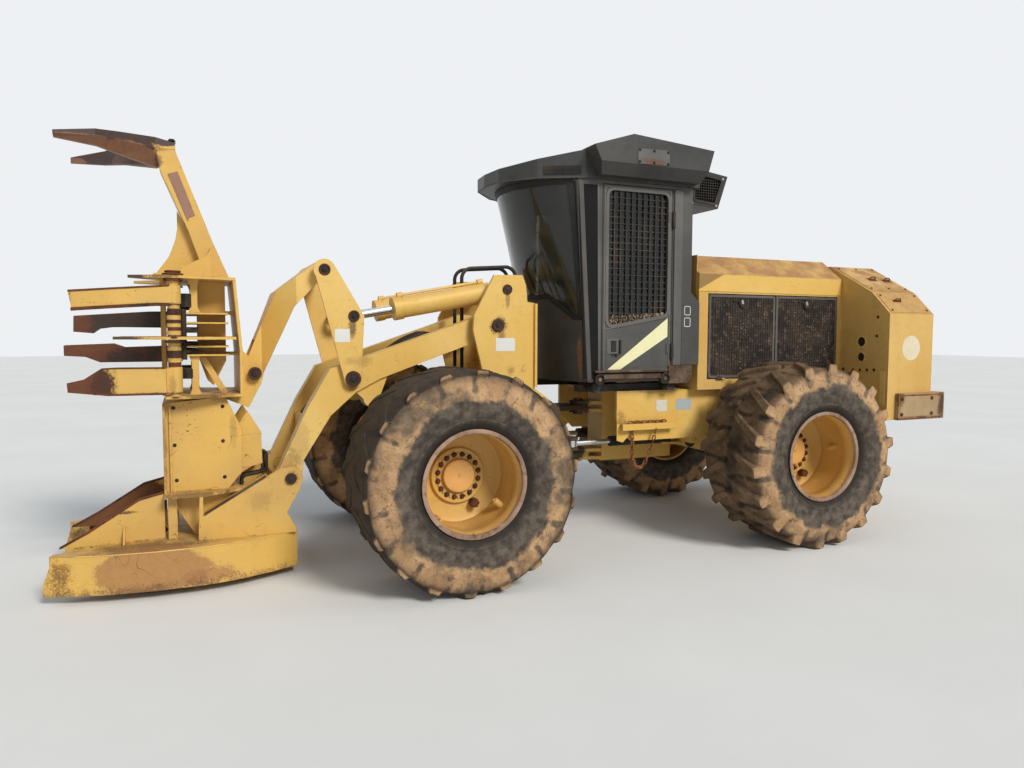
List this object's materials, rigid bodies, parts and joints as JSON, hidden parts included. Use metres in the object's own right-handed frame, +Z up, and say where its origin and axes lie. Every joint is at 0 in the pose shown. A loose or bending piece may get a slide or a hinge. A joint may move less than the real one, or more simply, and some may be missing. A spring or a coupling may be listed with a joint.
{
  "type": "wheeled feller buncher",
  "caption": "Articulated rubber-tyred forestry machine with a cab, rear engine hood, lift boom with parallel linkage and a disc-saw felling head with gathering arms.",
  "frame": {"origin": "ground level, under the middle of the overall length and width", "axes": "+X forward to the felling head, +Y to the machine's left, +Z up"},
  "size_m": [7.3, 2.95, 3.34],
  "materials": {
    "yellow_paint": "weathered satin paint",
    "cab_grey": "worn satin paint",
    "black_steel": "matt black",
    "bare_steel": "worn steel with rust",
    "chrome_rod": "polished",
    "iron": "oily cast iron",
    "tyre": "muddy rubber",
    "hose_rubber": "hose cover",
    "glass": "dusty safety glass",
    "seat_fabric": "woven",
    "plastic": "moulded",
    "radiator_alu": "finned core"
  },
  "bodies": {
    "rear_frame": {"rear_chassis": "yellow_paint", "rear_axle": "yellow_paint", "cab_shell": "cab_grey", "windshield": "glass", "cab_guards": "black_steel", "cab_roof": "cab_grey", "roof_box": "cab_grey", "operator_seat": "seat_fabric", "cab_controls": "plastic", "cab_mounts": "black_steel", "engine_block": "iron", "hood": "yellow_paint", "rear_housing": "yellow_paint", "radiator": "radiator_alu", "rear_grille": "black_steel", "rear_bumper": "bare_steel", "hanging_chain": "bare_steel"},
    "front_frame": {"front_chassis": "yellow_paint", "tower": "yellow_paint", "front_axle": "yellow_paint", "tower_hoses": "hose_rubber"},
    "boom": {"boom": "yellow_paint"},
    "levers": {"levers": "yellow_paint"},
    "head_link": {"head_link": "yellow_paint"},
    "tilt_barrels": {"tilt_barrels": "yellow_paint"},
    "tilt_rods": {"tilt_rods": "chrome_rod"},
    "lift_barrels": {"lift_barrels": "yellow_paint"},
    "lift_rods": {"lift_rods": "chrome_rod"},
    "head": {"head_body": "yellow_paint", "head_cage": "yellow_paint", "mast_fork": "yellow_paint", "saw_housing": "yellow_paint", "head_wings": "yellow_paint", "head_hoses": "hose_rubber"},
    "saw_disc": {"saw_disc": "bare_steel"},
    "left_arm": {"left_arm": "yellow_paint"},
    "right_arm": {"right_arm": "yellow_paint"},
    "cab_door": {"cab_door": "cab_grey", "door_guard": "black_steel"},
    "left_steer_barrel": {"left_steer_barrel": "yellow_paint"},
    "left_steer_rod": {"left_steer_rod": "chrome_rod"},
    "front_left_wheel": {"front_left_tyre": "tyre", "front_left_rim": "yellow_paint"},
    "rear_left_wheel": {"rear_left_tyre": "tyre", "rear_left_rim": "yellow_paint"},
    "left_front_screen": {"left_front_screen": "black_steel"},
    "left_rear_screen": {"left_rear_screen": "black_steel"},
    "right_steer_barrel": {"right_steer_barrel": "yellow_paint"},
    "right_steer_rod": {"right_steer_rod": "chrome_rod"},
    "front_right_wheel": {"front_right_tyre": "tyre", "front_right_rim": "yellow_paint"},
    "rear_right_wheel": {"rear_right_tyre": "tyre", "rear_right_rim": "yellow_paint"},
    "right_front_screen": {"right_front_screen": "black_steel"},
    "right_rear_screen": {"right_rear_screen": "black_steel"}
  },
  "joints": [
    {"name": "articulation", "type": "hinge", "parent": "rear_frame", "child": "front_frame", "pos_m": [-0.49, 0, 0.895], "axis": [0, 0, 1], "range_deg": [-40, 40]},
    {"name": "boom_lift", "type": "hinge", "parent": "front_frame", "child": "boom", "pos_m": [0.483, 0, 1.831], "axis": [0, -1, 0], "range_deg": [0, 35]},
    {"name": "head_tilt", "type": "hinge", "parent": "boom", "child": "head", "pos_m": [2.095, 0, 0.715], "axis": [0, 1, 0], "range_deg": [-12, 30]},
    {"name": "lever_swing", "type": "hinge", "parent": "boom", "child": "levers", "pos_m": [1.63, 0, 1.425], "axis": [0, 1, 0], "range_deg": [-12, 30]},
    {"name": "link_swing", "type": "hinge", "parent": "levers", "child": "head_link", "pos_m": [1.83, 0, 2.225], "axis": [0, 1, 0], "range_deg": [-29, 12]},
    {"name": "tilt_barrel_swing", "type": "hinge", "parent": "front_frame", "child": "tilt_barrels", "pos_m": [0.405, 0, 2.115], "axis": [0, -1, 0], "range_deg": [0, 34]},
    {"name": "tilt_rod_slide", "type": "slide", "parent": "tilt_barrels", "child": "tilt_rods", "axis": [0.9833, 0, -0.1821], "range_m": [-0.1, 0.24]},
    {"name": "lift_barrel_swing", "type": "hinge", "parent": "front_frame", "child": "lift_barrels", "pos_m": [0.58, 0, 0.85], "axis": [0, -1, 0], "range_deg": [0, 22]},
    {"name": "lift_rod_slide", "type": "slide", "parent": "lift_barrels", "child": "lift_rods", "axis": [0.9077, 0, 0.4196], "range_m": [0, 0.53]},
    {"name": "saw_spin", "type": "hinge", "parent": "head", "child": "saw_disc", "pos_m": [2.75, 0, 0.12], "axis": [0, 0, 1], "continuous": true},
    {"name": "left_arm_close", "type": "hinge", "parent": "head", "child": "left_arm", "pos_m": [2.842, 0.4, 1.31], "axis": [0, 0, -1], "range_deg": [0, 60]},
    {"name": "right_arm_close", "type": "hinge", "parent": "head", "child": "right_arm", "pos_m": [2.842, -0.4, 1.31], "axis": [0, 0, 1], "range_deg": [0, 60]},
    {"name": "cab_door_open", "type": "hinge", "parent": "rear_frame", "child": "cab_door", "pos_m": [-1.02, 0.689, 1.44], "axis": [0, 0, 1], "range_deg": [0, 90]},
    {"name": "left_steer_swing", "type": "hinge", "parent": "rear_frame", "child": "left_steer_barrel", "pos_m": [-1.24, 0.3, 0.82], "axis": [0, 0, 1], "range_deg": [-10, 10]},
    {"name": "left_steer_slide", "type": "slide", "parent": "left_steer_barrel", "child": "left_steer_rod", "axis": [1, 0, 0], "range_m": [-0.21, 0.21]},
    {"name": "front_left_wheel_spin", "type": "hinge", "parent": "front_frame", "child": "front_left_wheel", "pos_m": [1.03, 1.11, 0.765], "axis": [0, 1, 0], "continuous": true},
    {"name": "rear_left_wheel_spin", "type": "hinge", "parent": "rear_frame", "child": "rear_left_wheel", "pos_m": [-2.02, 1.11, 0.765], "axis": [0, 1, 0], "continuous": true},
    {"name": "left_front_screen_drop", "type": "hinge", "parent": "rear_frame", "child": "left_front_screen", "pos_m": [-1.7965, 0.658, 1.37], "axis": [-1, 0, 0], "range_deg": [0, 30]},
    {"name": "left_rear_screen_drop", "type": "hinge", "parent": "rear_frame", "child": "left_rear_screen", "pos_m": [-2.5435, 0.658, 1.37], "axis": [-1, 0, 0], "range_deg": [0, 30]},
    {"name": "right_steer_swing", "type": "hinge", "parent": "rear_frame", "child": "right_steer_barrel", "pos_m": [-1.24, -0.3, 0.82], "axis": [0, 0, 1], "range_deg": [-10, 10]},
    {"name": "right_steer_slide", "type": "slide", "parent": "right_steer_barrel", "child": "right_steer_rod", "axis": [1, 0, 0], "range_m": [-0.21, 0.21]},
    {"name": "front_right_wheel_spin", "type": "hinge", "parent": "front_frame", "child": "front_right_wheel", "pos_m": [1.03, -1.11, 0.765], "axis": [0, 1, 0], "continuous": true},
    {"name": "rear_right_wheel_spin", "type": "hinge", "parent": "rear_frame", "child": "rear_right_wheel", "pos_m": [-2.02, -1.11, 0.765], "axis": [0, 1, 0], "continuous": true},
    {"name": "right_front_screen_drop", "type": "hinge", "parent": "rear_frame", "child": "right_front_screen", "pos_m": [-1.7965, -0.658, 1.37], "axis": [1, 0, 0], "range_deg": [0, 30]},
    {"name": "right_rear_screen_drop", "type": "hinge", "parent": "rear_frame", "child": "right_rear_screen", "pos_m": [-2.5435, -0.658, 1.37], "axis": [1, 0, 0], "range_deg": [0, 30]}
  ],
  "couplings": [
    {"joint": "lever_swing", "follows": "head_tilt", "ratio": 0.972},
    {"joint": "link_swing", "follows": "head_tilt", "ratio": -0.9311},
    {"joint": "tilt_rod_slide", "follows": "head_tilt", "m_per_rad": 0.4464},
    {"joint": "tilt_barrel_swing", "follows": "boom_lift", "ratio": 0.945},
    {"joint": "lift_barrel_swing", "follows": "boom_lift", "ratio": 0.62},
    {"joint": "lift_rod_slide", "follows": "boom_lift", "m_per_rad": 0.86},
    {"joint": "left_steer_swing", "follows": "articulation", "ratio": 0.205},
    {"joint": "left_steer_slide", "follows": "articulation", "m_per_rad": -0.288},
    {"joint": "right_steer_swing", "follows": "articulation", "ratio": 0.205},
    {"joint": "right_steer_slide", "follows": "articulation", "m_per_rad": 0.288}
  ]
}
